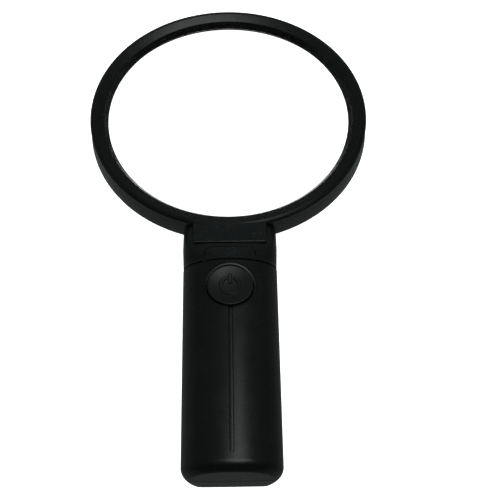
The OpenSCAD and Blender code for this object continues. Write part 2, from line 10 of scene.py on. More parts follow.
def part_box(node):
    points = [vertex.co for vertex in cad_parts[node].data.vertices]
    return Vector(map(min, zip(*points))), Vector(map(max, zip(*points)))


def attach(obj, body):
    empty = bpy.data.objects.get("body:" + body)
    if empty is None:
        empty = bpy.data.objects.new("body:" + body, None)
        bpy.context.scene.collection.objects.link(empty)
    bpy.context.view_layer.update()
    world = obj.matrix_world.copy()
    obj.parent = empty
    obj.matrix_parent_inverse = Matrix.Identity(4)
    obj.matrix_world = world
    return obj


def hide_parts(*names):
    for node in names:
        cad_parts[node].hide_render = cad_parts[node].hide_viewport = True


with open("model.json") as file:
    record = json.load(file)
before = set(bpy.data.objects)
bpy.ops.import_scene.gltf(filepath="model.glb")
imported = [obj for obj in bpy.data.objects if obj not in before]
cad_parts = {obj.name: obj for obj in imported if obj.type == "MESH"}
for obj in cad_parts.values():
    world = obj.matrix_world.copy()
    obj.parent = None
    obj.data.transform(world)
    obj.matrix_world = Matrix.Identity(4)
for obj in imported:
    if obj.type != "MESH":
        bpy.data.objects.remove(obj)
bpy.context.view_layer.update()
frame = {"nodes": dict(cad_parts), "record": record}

# Illuminated hand magnifier, lying on its back. Lengths below are in millimetres and become metres
# when a mesh is made. X runs across it, +Y from the handle to the lens, +Z is its front face.
MM = 0.001


# ---- places taken from the frame

def low(node):
    return np.array(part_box(node)[0]) / MM


def high(node):
    return np.array(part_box(node)[1]) / MM


RING_R = high("front_bezel")[0]
RING_Y = high("front_bezel")[1] - RING_R
RING_BASE_R = high("head_housing")[0]
PART_Z = low("handle_front_shell")[2]
CROWN_Z = high("handle_front_shell")[2]
BUTT_Y = low("handle_front_shell")[1]
HANDLE_END_Y = high("handle_front_shell")[1]
HALF_W = high("handle_front_shell")[0]
BUTTON_Y = (low("button_cap")[1] + high("button_cap")[1]) / 2
CAP_TOP_Z = high("button_cap")[2]
DOOR_Y = high("battery_door")[1]
DOOR_Z = high("battery_door")[2]
REAR_Z = high("handle_rear_shell")[2]
REAR_Y = low("handle_rear_shell")[1]

# Handle section and butt
CROWN_H = CROWN_Z - PART_Z
WALL = 2.0
BACK_CORNER = 8.0
CROWN_ROUND_R = 7.5
CROWN_ROUND_L = 5.9
SIDE_ROUND_R = 6.5
SIDE_ROUND_L = 6.15
BUTT_DRAFT = 0.4
BUTT_BACK_R = 2.5
BUTT_BOW = 0.35
CRISP_BLEND = 0.25
SHELL_EDGE = 0.45

# Button well and groove
WELL_R = 11.8
RECESS_R = 13.25
RECESS_D = 0.42
RECESS_WALL = 0.35
WELL_LIP = 0.28
PATCH_HALF = 14.5
GROOVE_HALF_W = 1.05
GROOVE_D = 0.85
GROOVE_WALL = 0.4
GROOVE_CROWN = 0.12
GROOVE_END_Y = RING_Y - 204.45


# ---- mesh helpers

def new_object(name, verts, faces):
    """An object in the scene from points in millimetres."""
    mesh = bpy.data.meshes.new(name)
    mesh.from_pydata((np.asarray(verts, float) * MM).tolist(), [], [tuple(map(int, f)) for f in faces])
    obj = bpy.data.objects.new(name, mesh)
    bpy.context.scene.collection.objects.link(obj)
    return obj


def mesh_object(name, verts, faces, angle=35):
    """A new object with smooth faces that break at edges over the angle."""
    obj = new_object(name, verts, faces)
    obj.data.validate()
    outward(obj)
    smooth(obj, angle)
    return obj


def outward(obj):
    bm = bmesh.new()
    bm.from_mesh(obj.data)
    bmesh.ops.recalc_face_normals(bm, faces=bm.faces)
    bm.to_mesh(obj.data)
    bm.free()


def eased(t):
    """0 to 1 with a soft start and a soft end."""
    return t * t * (3 - 2 * t)


def smooth(obj, angle):
    obj.data.shade_smooth()
    obj.data.set_sharp_from_angle(angle=math.radians(angle))


def apply_modifiers(obj):
    graph = bpy.context.evaluated_depsgraph_get()
    done = bpy.data.meshes.new_from_object(obj.evaluated_get(graph))
    obj.modifiers.clear()
    old = obj.data
    obj.data = done
    bpy.data.meshes.remove(old)
    return obj


def rounded(corners, steps=5):
    """Points of a closed outline through corners (a, b, radius), each corner an arc."""
    points = []
    count = len(corners)
    for i, (a, b, r) in enumerate(corners):
        here = np.array([a, b], float)
        if r <= 0:
            points.append(here)
            continue
        back = np.array(corners[i - 1][:2], float) - here
        ahead = np.array(corners[(i + 1) % count][:2], float) - here
        room = 0.48 * min(np.linalg.norm(back), np.linalg.norm(ahead))
        back /= np.linalg.norm(back)
        ahead /= np.linalg.norm(ahead)
        half = math.acos(np.clip(back @ ahead, -1, 1)) / 2
        cut = min(r / math.tan(half), room)
        radius = cut * math.tan(half)
        middle = (back + ahead) / np.linalg.norm(back + ahead)
        centre = here + middle * radius / math.sin(half)
        first, last = here + back * cut - centre, here + ahead * cut - centre
        turn = math.pi - 2 * half
        for k in range(steps + 1):
            t = k / steps
            blend = math.sin((1 - t) * turn) * first + math.sin(t * turn) * last
            points.append(centre + blend / math.sin(turn))
    return np.array(points)


def spin(name, profile, centre, segments, angle=35):
    """Solid turned about an upright axis. Its profile (radius, z) is closed or ends on the axis."""
    profile = np.asarray(profile, float)
    poles = profile[0][0] < 1e-6
    body = profile[1:-1] if poles else profile
    turn = np.linspace(0, 2 * math.pi, segments, endpoint=False)
    verts = [(centre[0] + r * math.cos(t), centre[1] + r * math.sin(t), z) for t in turn for r, z in body]
    n = len(body)
    faces = []
    for k in range(segments):
        m = (k + 1) % segments
        for i in range(n - 1 if poles else n):
            j = (i + 1) % n
            faces.append((k * n + i, m * n + i, m * n + j, k * n + j))
    if poles:
        verts += [(centre[0], centre[1], profile[0][1]), (centre[0], centre[1], profile[-1][1])]
        first, last = len(verts) - 2, len(verts) - 1
        for k in range(segments):
            m = (k + 1) % segments
            faces.append((first, m * n, k * n))
            faces.append((last, k * n + n - 1, m * n + n - 1))
    return mesh_object(name, verts, faces, angle)


def loft(name, rings):
    """Closed solid through rings of points that all have the same count."""
    rings = np.asarray(rings, float)
    count, n = rings.shape[:2]
    faces = []
    for i in range(count - 1):
        for k in range(n):
            m = (k + 1) % n
            faces.append((i * n + k, i * n + m, (i + 1) * n + m, (i + 1) * n + k))
    faces.append(tuple(range(n))[::-1])
    faces.append(tuple((count - 1) * n + k for k in range(n)))
    return mesh_object(name, rings.reshape(-1, 3), faces)


def inset_outline(outline, amount):
    """A convex outline moved inwards by an amount."""
    ahead = np.roll(outline, -1, 0) - outline
    back = outline - np.roll(outline, 1, 0)
    along = ahead / np.linalg.norm(ahead, axis=1)[:, None] + back / np.linalg.norm(back, axis=1)[:, None]
    along /= np.linalg.norm(along, axis=1)[:, None]
    area = np.sum(outline[:, 0] * np.roll(outline[:, 1], -1) - np.roll(outline[:, 0], -1) * outline[:, 1])
    inward = np.column_stack([-along[:, 1], along[:, 0]]) * (1 if area > 0 else -1)
    return outline + inward * amount


def prism(name, outline, z0, z1, edge=0.0, steps=3, place=None):
    """Upright solid over a convex outline of (x, y), with round top and bottom edges."""
    outline = np.asarray(outline, float)
    turn = [math.pi / 2 * k / steps for k in range(steps + 1)] if edge else [math.pi / 2]
    rings = [(edge * (1 - math.sin(t)), z0 + edge * (1 - math.cos(t)) if edge else z0) for t in turn]
    rings += [
        (edge * (1 - math.sin(t)), z1 - edge * (1 - math.cos(t)) if edge else z1)
        for t in reversed(turn)
    ]
    if edge:
        rings[0:1], rings[-1:] = [(edge, z0)], [(edge, z1)]
    made = []
    for shrink, z in rings:
        flat = inset_outline(outline, shrink) if shrink > 0 else outline
        made.append(np.column_stack([flat, np.full(len(flat), z)]))
    made = np.array(made)
    if place is not None:
        made = made @ np.array(place.to_3x3()).T + np.array(place.translation)
    return loft(name, made)


def block(name, x0, x1, y0, y1, z0, z1, edge=0.0):
    return prism(name, [(x0, y0), (x1, y0), (x1, y1), (x0, y1)], z0, z1, edge)


def post(name, x, y, r, z0, z1, segments=48):
    return spin(name, [(0, z0), (r, z0), (r, z1), (0, z1)], (x, y), segments)


def combine(obj, operation, *tools):
    """Adds or cuts the tools, which go away."""
    for tool in tools:
        change = obj.modifiers.new("combine", "BOOLEAN")
        change.operation = operation
        change.solver = "MANIFOLD"
        change.object = tool
        apply_modifiers(obj)
        bpy.data.objects.remove(tool)
    return obj


def join(*parts):
    return combine(parts[0], "UNION", *parts[1:])


def cut(obj, *tools):
    return combine(obj, "DIFFERENCE", *tools)


def bevel_marked(obj, width):
    """Rounds the edges that carry a bevel weight."""
    change = obj.modifiers.new("round", "BEVEL")
    change.limit_method = "WEIGHT"
    change.width = width * MM
    change.segments = 3
    change.use_clamp_overlap = True
    return apply_modifiers(obj)


def tidy_mesh(obj):
    """Merges doubled points, dissolves degenerate edges and sets the smooth edges."""
    bm = bmesh.new()
    bm.from_mesh(obj.data)
    bmesh.ops.remove_doubles(bm, verts=bm.verts, dist=0.002 * MM)
    bmesh.ops.dissolve_degenerate(bm, edges=bm.edges, dist=0.001 * MM)
    bmesh.ops.recalc_face_normals(bm, faces=bm.faces)
    bm.to_mesh(obj.data)
    bm.free()
    smooth(obj, 35)
    return obj


# ---- handle surface

def soft_max(a, b, blend):
    """The larger of two distances, with a round step from one to the other."""
    gap = np.maximum(blend - np.abs(a - b), 0)
    return np.maximum(a, b) + gap * gap / (4 * blend)


def beyond_ellipse(x, z, a, b):
    """About how far a point lies outside an ellipse."""
    q = np.sqrt((x / a) ** 2 + (z / b) ** 2)
    slope = np.sqrt((x / a**2) ** 2 + (z / b**2) ** 2)
    return (q - 1) * q / np.maximum(slope, 1e-6)


def round_off(y, start, length, r):
    """How far an outline has turned in at y, on an arc that starts at a length from the butt."""
    into = np.clip(start + length - y, 0, 0.999 * r)
    return r - np.sqrt(r * r - into * into)


def side_at(y):
    """Half width of the handle in plan, with its round corners at the butt."""
    return HALF_W - round_off(y, BUTT_Y + BUTT_BOW, SIDE_ROUND_L, SIDE_ROUND_R)


def crown_over(y):
    """Height of the crown over the parting plane, as it falls to the butt."""
    return CROWN_H - round_off(y, BUTT_Y, CROWN_ROUND_L, CROWN_ROUND_R)


def beyond_face(x, y, h):
    """How far outside the slightly bowed and drafted end face."""
    bow = BUTT_BOW * np.minimum(np.abs(x) / (HALF_W - SIDE_ROUND_R), 1) ** 2
    return BUTT_Y + bow + BUTT_DRAFT * np.maximum(h, 0) / CROWN_H - y


def beyond_back(x, y, z):
    """How far outside the flat back with its elliptical corners and round butt edge."""
    h = np.minimum(z - PART_Z, 0)
    corner_x = np.abs(x) - (HALF_W - BACK_CORNER)
    across = np.where(corner_x > 0, beyond_ellipse(np.maximum(corner_x, 0), h, BACK_CORNER, PART_Z), -z)
    turned_in = BACK_CORNER * (1 - np.sqrt(np.maximum(1 - (h / PART_Z) ** 2, 0)))
    plan = np.abs(x) + turned_in - side_at(y)
    under = np.hypot(np.minimum(y - BUTT_Y - BUTT_BACK_R, 0), np.minimum(z - BUTT_BACK_R, 0)) - BUTT_BACK_R
    under = np.where(z < BUTT_BACK_R, under - np.maximum(y - BUTT_Y - BUTT_BACK_R, 0) * 0.6, -BUTT_BACK_R)
    ends = soft_max(beyond_face(x, y, h), under, CRISP_BLEND)
    return soft_max(np.maximum(across, plan), ends, CRISP_BLEND)


def beyond_handle(x, y, z):
    """How far outside the handle: a pillow-shaped front over the flat back."""
    h = z - PART_Z
    front = soft_max(beyond_ellipse(x, h, side_at(y), crown_over(y)), beyond_face(x, y, h), CRISP_BLEND)
    return np.where(h >= 0, front, beyond_back(x, y, z))


def reach_surface(start, direction, inset):
    """Points where rays from inside the handle meet its surface, shrunk by inset."""
    near_t = np.zeros(start.shape[:-1])
    far_t = np.full(start.shape[:-1], 30.0)
    for _ in range(36):
        t = (near_t + far_t) / 2
        p = start + direction * t[..., None]
        outside = beyond_handle(p[..., 0], p[..., 1], p[..., 2]) + inset > 0
        far_t = np.where(outside, t, far_t)
        near_t = np.where(outside, near_t, t)
    return start + direction * near_t[..., None]


def height_at(x, y, inset, up):
    """Height of the front or back surface above a place in plan."""
    start = np.stack([x, y, np.full_like(x, PART_Z)], -1)
    return reach_surface(start, np.array([0, 0, 1.0 if up else -1.0]), inset)[..., 2]


BEND_PULL = 3.6


def spread_by_bend(curve, count):
    """Resamples a curve so that its points crowd where it bends."""
    steps = np.diff(curve, axis=0)
    length = np.linalg.norm(steps, axis=1)
    heading = steps / np.maximum(length, 1e-9)[:, None]
    turn = np.zeros(len(length))
    turn[1:] = np.arccos(np.clip(np.sum(heading[1:] * heading[:-1], axis=1), -1, 1))
    weight = length + BEND_PULL * turn
    along = np.concatenate([[0], np.cumsum(weight)])
    wanted = np.linspace(0, along[-1], count)
    return np.column_stack([np.interp(wanted, along, curve[:, k]) for k in range(3)])


def butt_rows(columns, y, inset, up, count):
    """Rows that turn over the butt, from plan row y down or up to the parting plane."""
    fine = 420
    sweep = np.linspace(0, math.pi / 2, fine)
    scaled = columns * (HALF_W - inset) / HALF_W
    start = np.zeros((fine, len(columns), 3))
    start[..., 0] = scaled
    start[..., 1] = y
    start[..., 2] = PART_Z
    direction = np.zeros((fine, len(columns), 3))
    direction[..., 1] = -np.sin(sweep)[:, None]
    direction[..., 2] = np.cos(sweep)[:, None] * (1 if up else -1)
    found = reach_surface(start, direction, inset)
    rows = np.zeros((count, len(columns), 3))
    for k in range(len(columns)):
        rows[:, k] = spread_by_bend(found[:, k], count)
    return rows


# ---- front shell

def stadium_depth(x, y):
    """Depth of the groove from the button well towards the butt, with its round end."""
    end = GROOVE_END_Y + GROOVE_HALF_W
    away = np.where(y > end, np.abs(x), np.hypot(x, y - end))
    side = np.clip((GROOVE_HALF_W + 0.06 - away) / GROOVE_WALL, 0, 1)
    crown = GROOVE_CROWN * np.clip(1 - (away / GROOVE_HALF_W) ** 2, 0, 1)
    return np.where(y < BUTTON_Y, eased(side) * GROOVE_D - crown, 0)


def recess_depth(x, y):
    """Depth of the shallow stepped ring round the button."""
    r = np.hypot(x, y - BUTTON_Y)
    floor_r = RECESS_R - RECESS_WALL
    wall = np.clip((RECESS_R - r) / RECESS_WALL, 0, 1)
    slope = np.clip((floor_r - r) / (floor_r - WELL_R), 0, 1)
    lip = np.clip((WELL_R + WELL_LIP - r) / WELL_LIP, 0, 1)
    return eased(wall) * RECESS_D + 0.15 * slope + 0.25 * lip * lip


def groove_columns():
    """Places across the handle, crowded at its sides and at the groove."""
    inner = [0, 0.3, 0.55, 0.75, 0.85, 0.95, 1.03, 1.11, 1.2, 1.35, 1.6]
    middle = list(np.linspace(1.6, PATCH_HALF, 16))[1:]
    start = math.acos(PATCH_HALF / HALF_W)
    outer = [HALF_W * math.cos(t) for t in np.linspace(start, 0, 20)][1:]
    half = np.array(inner + middle + outer)
    return np.concatenate([half[::-1], -half[1:]])


def front_rows():
    """Plan rows of the front shell, from the seam to where the butt rows begin."""
    top = [HANDLE_END_Y - 0.15, HANDLE_END_Y - 0.7]
    patch = list(np.linspace(BUTTON_Y + PATCH_HALF, BUTTON_Y - PATCH_HALF, 25))
    plain = list(np.linspace(BUTTON_Y - PATCH_HALF, GROOVE_END_Y + 1.5, 34))[1:]
    fine = list(np.linspace(GROOVE_END_Y + 1.5, GROOVE_END_Y - 0.3, 20))[1:]
    return np.array(top + patch + plain + fine), len(top), len(top) + len(patch) - 1


def front_surface(columns, rows, inset):
    """Grid over the crown and the butt."""
    scaled = columns * (HALF_W - inset) / HALF_W
    x, y = np.meshgrid(scaled, rows)
    z = height_at(x, y, inset, True)
    if inset == 0:
        z = z - stadium_depth(x, y) - recess_depth(x, y)
    flat = np.stack([x, y, z], -1)
    butt = butt_rows(columns, rows[-1], inset, True, 56)
    return np.concatenate([flat, butt[1:]])


def well_rings(border, inset, radii):
    """Rings of points that lead from the square border round the well in to its wall."""
    x = border[:, 0]
    y = border[:, 1] - BUTTON_Y
    around = np.degrees(np.arctan2(x, -y))
    near = np.abs(around) < 20
    zone = 1.6
    on_groove = near & (y < 0) & (np.abs(x) <= zone + 1e-6)
    edge = np.degrees(math.atan2(zone, PATCH_HALF))
    rings = []
    for r in radii:
        limit = math.degrees(math.asin(zone / r))
        share = (np.abs(around) - edge) / (180 - edge)
        angle = np.sign(around) * (limit + share * (180 - limit))
        angle = np.where(on_groove, np.degrees(np.arcsin(np.clip(x / r, -1, 1))), angle)
        t = np.radians(angle)
        rings.append(np.column_stack([r * np.sin(t), BUTTON_Y - r * np.cos(t)]))
    outer = rings[0]
    first = [border[:, :2] * (1 - s) + outer * s for s in (0.3, 0.65)]
    made = []
    for ring in first + rings:
        z = height_at(ring[:, 0], ring[:, 1], inset, True)
        if inset == 0:
            z = z - stadium_depth(ring[:, 0], ring[:, 1]) - recess_depth(ring[:, 0], ring[:, 1])
        made.append(np.column_stack([ring, z]))
    return made


def front_shell():
    columns = groove_columns()
    rows, first, last = front_rows()
    left = int(np.argmin(np.abs(columns - PATCH_HALF)))
    right = int(np.argmin(np.abs(columns + PATCH_HALF)))
    radii = [
        13.95, 13.6, 13.35, RECESS_R, 13.16, 13.07, 12.98, 12.9, 12.7, 12.4, 12.1, 12.0, 11.93, 11.86, WELL_R,
    ]
    verts, faces = [], []

    def add(points):
        base = len(verts)
        verts.extend(map(tuple, points))
        return base

    layers = []
    for inset in (0, WALL):
        grid = front_surface(columns, rows, inset)
        n_rows, n_cols = grid.shape[:2]
        base = add(grid.reshape(-1, 3))
        for i in range(n_rows - 1):
            for k in range(n_cols - 1):
                if not (first <= i < last and left <= k < right):
                    a = base + i * n_cols + k
                    faces.append((a, a + 1, a + n_cols + 1, a + n_cols))
        loop = [(first, k) for k in range(left, right)] + [(i, right) for i in range(first, last)]
        loop += [(last, k) for k in range(right, left, -1)] + [(i, left) for i in range(last, first, -1)]
        ring = [base + i * n_cols + k for i, k in loop]
        border = np.array([verts[v] for v in ring])
        for points in well_rings(border, inset, radii):
            start = add(points)
            ahead = [start + k for k in range(len(ring))]
            faces += band(ring, ahead)
            ring = ahead
        layers.append((ring, rim_of(base, n_rows, n_cols)))
    for outer, inner in zip(*layers):
        faces += band(outer, inner)
    return marked_mesh("handle_front_cover", verts, faces, edges_round(layers[0][1]))


def marked_mesh(name, verts, faces, marked, width=SHELL_EDGE):
    """Makes the mesh, merges doubled points and rounds the marked edges."""
    obj = new_object(name, verts, faces)
    bm = bmesh.new()
    bm.from_mesh(obj.data)
    weight = bm.edges.layers.float.new("bevel_weight_edge")
    for edge in bm.edges:
        if frozenset((edge.verts[0].index, edge.verts[1].index)) in marked:
            edge[weight] = 1
    bmesh.ops.remove_doubles(bm, verts=bm.verts, dist=0.004 * MM)
    bmesh.ops.recalc_face_normals(bm, faces=bm.faces)
    bm.to_mesh(obj.data)
    bm.free()
    bevel_marked(obj, width)
    smooth(obj, 35)
    return obj


def rim_of(base, n_rows, n_cols):
    """Indices round the border of a grid."""
    rim = [base + i * n_cols for i in range(n_rows)]
    rim += [base + (n_rows - 1) * n_cols + k for k in range(1, n_cols)]
    rim += [base + i * n_cols + n_cols - 1 for i in range(n_rows - 2, -1, -1)]
    rim += [base + k for k in range(n_cols - 2, 0, -1)]
    return rim


def band(outer, inner):
    """Faces between two closed rings of point indices."""
    count = len(outer)
    return [(outer[k], outer[(k + 1) % count], inner[(k + 1) % count], inner[k]) for k in range(count)]


def edges_round(rim):
    """The edges of a closed rim of point indices."""
    return {frozenset((rim[k], rim[(k + 1) % len(rim)])) for k in range(len(rim))}


def sheet_solid(name, outer, inner, width=SHELL_EDGE):
    """Closed wall between two grids of the same size, with its outer border rounded."""
    n_rows, n_cols = outer.shape[:2]
    count = n_rows * n_cols
    verts = np.concatenate([outer.reshape(-1, 3), inner.reshape(-1, 3)])
    faces = []
    for base in (0, count):
        for i in range(n_rows - 1):
            for k in range(n_cols - 1):
                a = base + i * n_cols + k
                faces.append((a, a + 1, a + n_cols + 1, a + n_cols))
    outer_rim = rim_of(0, n_rows, n_cols)
    faces += band(outer_rim, rim_of(count, n_rows, n_cols))
    return marked_mesh(name, verts, faces, edges_round(outer_rim), width)


# ---- rear shell and battery door

SCREW_HEAD_R = 2.3
SCREW_HOLE_R = 1.3
SCREW_SEAT_Z = 2.6
BOSS_R = 3.4
RAIL_IN_X = 19.2
RAIL_OUT_X = 22.85
RAIL_Z = 7.4
RAIL_T = 1.4
DOOR_EDGE = 1.0
GRIP_COUNT = 5
GRIP_FIRST = 12
GRIP_STEP = 3
GRIP_HALF_W = 11
GRIP_D = 0.5
GRIP_LIP_D = 0.22
GRIP_MOUTH = 0.25
TONGUE_BOSS_TOP = 6.65
BOARD_BOSS_X = 8
BOARD_BOSS_IN = 2.5
BUTT_ROWS = 52
ARROW_HALF_W = 4.2
ARROW_LENGTH = 5.2


def back_columns():
    """Places across the back, crowded at the round corners."""
    flat = HALF_W - BACK_CORNER
    corner = [flat + BACK_CORNER * math.sin(t) for t in np.linspace(math.pi / 2, 0, 22)]
    middle = list(np.linspace(flat, 0, 12))[1:]
    half = np.array(corner + middle)
    return np.concatenate([half, -half[:-1][::-1]])


def eased_rows(butt, top_z, ease):
    """Butt rows that end below the parting plane with a round edge."""
    steps = 8
    count, n_cols = butt.shape[:2]
    levels = top_z - ease + ease * np.sin(np.linspace(0, math.pi / 2, steps + 1)[1:])
    out = np.empty_like(butt)
    for k in range(n_cols):
        z = np.maximum.accumulate(butt[:, k, 2])
        split = max(top_z - ease, z[0])
        body = np.vstack([butt[z < split, k], [butt[0, k, 0], np.interp(split, z, butt[:, k, 1]), split]])
        out[:count - steps, k] = spread_by_bend(body, count - steps) if len(body) > 1 else body[0]
        heights = np.maximum(levels, split)
        out[count - steps:, k, 0] = butt[0, k, 0]
        out[count - steps:, k, 1] = np.interp(heights, z, butt[:, k, 1])
        out[count - steps:, k, 2] = heights
    x, y, z = out[..., 0], out[..., 1], out[..., 2]
    small = 0.05
    slope_x = beyond_handle(x + small, y, z) - beyond_handle(x - small, y, z)
    slope_y = beyond_handle(x, y + small, z) - beyond_handle(x, y - small, z)
    length = np.maximum(np.hypot(slope_x, slope_y), 1e-9)
    into = np.clip(z - (top_z - ease), 0, ease)
    amount = (ease - np.sqrt(ease**2 - into**2)) * np.clip((BUTT_Y + 14 - y) / 6, 0, 1)
    out[..., 0] -= amount * slope_x / length
    out[..., 1] -= amount * slope_y / length
    return out


def back_surface(rows, inset, top_z, butt_count=0, ease=0):
    columns = back_columns()
    scaled = columns * (HALF_W - inset) / HALF_W
    x, y = np.meshgrid(scaled, rows)
    grid = np.stack([x, y, height_at(x, y, inset, False)], -1)
    if butt_count:
        butt = butt_rows(columns, rows[-1], inset, False, butt_count)
        if ease:
            butt = eased_rows(butt, top_z, ease)
        grid = np.concatenate([grid, butt[1:]])
    grid[..., 2] = np.minimum(grid[..., 2], top_z)
    return grid


def screw_places():
    """Centres of the four case screws."""
    lo, hi = low("case_screws"), high("case_screws")
    head_r = 2.0
    x = hi[0] - head_r
    return [(side * x, y) for side in (-1, 1) for y in (lo[1] + head_r, hi[1] - head_r)]


def flared(r, flare):
    """Start of a cutter's profile: a mouth at the back that narrows to a radius."""
    turn = np.linspace(0, math.pi / 2, 5)
    mouth = [(r + flare * (1 - math.sin(t)), flare * (1 - math.cos(t))) for t in turn]
    return [(0, -1), (r + flare, -1)] + mouth


def screw_well(x, y):
    """Cutter for a counterbored hole from the back."""
    end = PART_Z + 2
    seat = [(SCREW_HEAD_R, SCREW_SEAT_Z), (SCREW_HOLE_R, SCREW_SEAT_Z), (SCREW_HOLE_R, end), (0, end)]
    return spin("cutter", flared(SCREW_HEAD_R, 0.35) + seat, (x, y), 48)


def rear_shell():
    rows = np.linspace(HANDLE_END_Y, REAR_Y, 24)
    obj = sheet_solid("handle_rear_cover", back_surface(rows, 0, REAR_Z), back_surface(rows, WALL, REAR_Z))
    places = screw_places()
    tops = [REAR_Z if y < HANDLE_END_Y - 10 else TONGUE_BOSS_TOP for _, y in places]
    bosses = [post("boss", x, y, BOSS_R, 0.6, top) for (x, y), top in zip(places, tops)]
    board_lo, board_hi = low("circuit_board"), high("circuit_board")
    for x in (-BOARD_BOSS_X, BOARD_BOSS_X):
        for y in (board_lo[1] + BOARD_BOSS_IN, board_hi[1] - BOARD_BOSS_IN):
            bosses.append(post("boss", x, y, 1.6, 1, board_lo[2] - 0.05))
    join(obj, *bosses)
    cut(obj, *[screw_well(x, y) for x, y in places])
    return tidy_mesh(obj)


def grip_groove(y):
    """Cutter for one finger groove across the door."""
    half = 0.6
    outline = [(-half - GRIP_MOUTH, -1.0), (-half - GRIP_MOUTH, 0.0), (-half, GRIP_LIP_D)]
    for t in np.linspace(0.2, math.pi - 0.2, 8):
        outline.append((-half * math.cos(t), GRIP_LIP_D + (GRIP_D - GRIP_LIP_D) * math.sin(t)))
    outline += [(half, GRIP_LIP_D), (half + GRIP_MOUTH, 0.0), (half + GRIP_MOUTH, -1.0)]
    return loft("cutter", [[(x, y + a, b) for a, b in outline] for x in (-GRIP_HALF_W, GRIP_HALF_W)])


def battery_door():
    rows = np.linspace(DOOR_Y, BUTT_Y + 16, 36)
    top = DOOR_Z - 0.1
    outer = back_surface(rows, 0, top, BUTT_ROWS, DOOR_EDGE)
    inner = back_surface(rows, WALL, top, BUTT_ROWS)
    obj = sheet_solid("battery_door_cover", outer, inner)
    tray_lo, tray_hi = low("battery_tray"), high("battery_tray")
    rails = []
    for side in (-1, 1):
        x0, x1 = sorted((side * RAIL_IN_X, side * RAIL_OUT_X))
        y0, y1 = tray_lo[1] + 2, tray_hi[1] - 11.05
        rails.append(block("rail", x0, x1, y0, y1, RAIL_Z, RAIL_Z + RAIL_T, edge=0.15))
    join(obj, *rails)
    cut(obj, *[grip_groove(DOOR_Y - GRIP_FIRST - GRIP_STEP * i) for i in range(GRIP_COUNT)])
    arrow_y = DOOR_Y - GRIP_FIRST - GRIP_STEP * GRIP_COUNT - 3
    arrow = rounded([
        (-ARROW_HALF_W, arrow_y, 0.4), (ARROW_HALF_W, arrow_y, 0.4), (0, arrow_y - ARROW_LENGTH, 0.6),
    ])
    cut(obj, prism("cutter", arrow, -1, 0.4))
    return tidy_mesh(obj)


# ---- button

CAP_R = 11.3
CAP_FLANGE_R = 12.9
CAP_RIM_R = 10.9
CAP_DISH_D = 1.0
CAP_EDGE_H = 0.4
ICON_R = 4.6
ICON_HALF_W = 0.8
ICON_H = 0.6
ICON_GAP = math.radians(29)
ICON_BAR = (1.7, 5.9)
CAP_SEGMENTS = 288
CAP_WALL_R = 9.7
CAP_POST_R = 2.5
CAP_POCKET_Z = 19
FLANGE_T = 1.1


def icon_height(x, y):
    """Raised power symbol: an open ring and an upright bar."""
    turn = np.arctan2(x, y)
    ends = [(ICON_R * math.sin(s * ICON_GAP), ICON_R * math.cos(s * ICON_GAP)) for s in (-1, 1)]
    to_end = np.minimum(*[np.hypot(x - a, y - b) for a, b in ends])
    arc = np.where(np.abs(turn) > ICON_GAP, np.abs(np.hypot(x, y) - ICON_R), to_end)
    bar = np.hypot(x, y - np.clip(y, *ICON_BAR))
    near = np.minimum(arc, bar)
    rise = np.clip((ICON_HALF_W + 0.1 - near) / 0.34, 0, 1)
    return ICON_H * eased(rise)


def dish_z(r):
    return CAP_TOP_Z - CAP_DISH_D * (1 - (r / CAP_RIM_R) ** 2)


def button_cap():
    bottom = low("button_cap")[2]
    start_r = CAP_RIM_R - 0.15
    rings = [(r, dish_z(r)) for r in np.linspace(0.2, start_r, 70)]
    edge = [(start_r + (CAP_R - start_r) * math.sin(t), dish_z(start_r) - CAP_EDGE_H * (1 - math.cos(t)))
            for t in np.linspace(0, math.pi / 2, 9)]
    rings += edge[1:]
    flange_top = bottom + FLANGE_T
    under = [(CAP_R, flange_top + 0.25), (CAP_R + 0.2, flange_top), (CAP_FLANGE_R - 0.25, flange_top)]
    under += [(CAP_FLANGE_R, flange_top - 0.25), (CAP_FLANGE_R, bottom + 0.15), (CAP_FLANGE_R - 0.15, bottom)]
    under += [(CAP_WALL_R, bottom), (CAP_WALL_R, CAP_POCKET_Z), (CAP_POST_R, CAP_POCKET_Z)]
    under.append((CAP_POST_R, bottom + 0.25))
    profile = [(0, dish_z(0))] + rings + under + [(0, bottom + 0.25)]
    obj = spin("power_button", profile, (0, BUTTON_Y), CAP_SEGMENTS)
    shaped = len(rings)
    body = len(profile) - 2
    co = np.zeros(len(obj.data.vertices) * 3)
    obj.data.vertices.foreach_get("co", co)
    co = co.reshape(-1, 3)
    order = np.arange(len(co))
    raised = (order % body < shaped) & (order < CAP_SEGMENTS * body)
    co[raised, 2] += icon_height(co[raised, 0] / MM, co[raised, 1] / MM - BUTTON_Y) * MM
    obj.data.vertices.foreach_set("co", co.ravel())
    obj.data.update()
    smooth(obj, 50)
    return obj


# ---- bezel with its plate, and neck tab

SEAM_HALF = 0.4
SEAM_Y = HANDLE_END_Y + SEAM_HALF
NECK_START_Y = SEAM_Y + SEAM_HALF + 0.1
NECK_EDGE = 0.6
TAB_GAP = 0.5
NECK_FALL = 0.3226
SLOPE = math.atan(NECK_FALL)
NECK_DROP = 0.5
PLATE_RISE = 0.35
TAB_PROUD = 0.1
PLATE_HALF_W = 18.7
PLATE_FLARE = 0.9
PLATE_T = 1.8
PLATE_SKIRT = 6.5
PLATE_END_SKIRT = 3.2
PLATE_EDGE = 1.0
NECK_FULL = 5.0
NECK_FULL_Y = RING_Y - 88.2
NECK_SPREAD = 0.4
PLATE_NEAR = (NECK_FULL_Y - SEAM_Y) / math.cos(SLOPE)
PLATE_FAR = PLATE_NEAR + 22
OPENING_R = 66.4
SPIGOT_R = 73.6
SPIGOT_FIT = 0.3
BEZEL_Z = 11.05
HOUSING_TOP_Z = 10.95
RING_SEGMENTS = 320
SLOT_GAP = 0.15


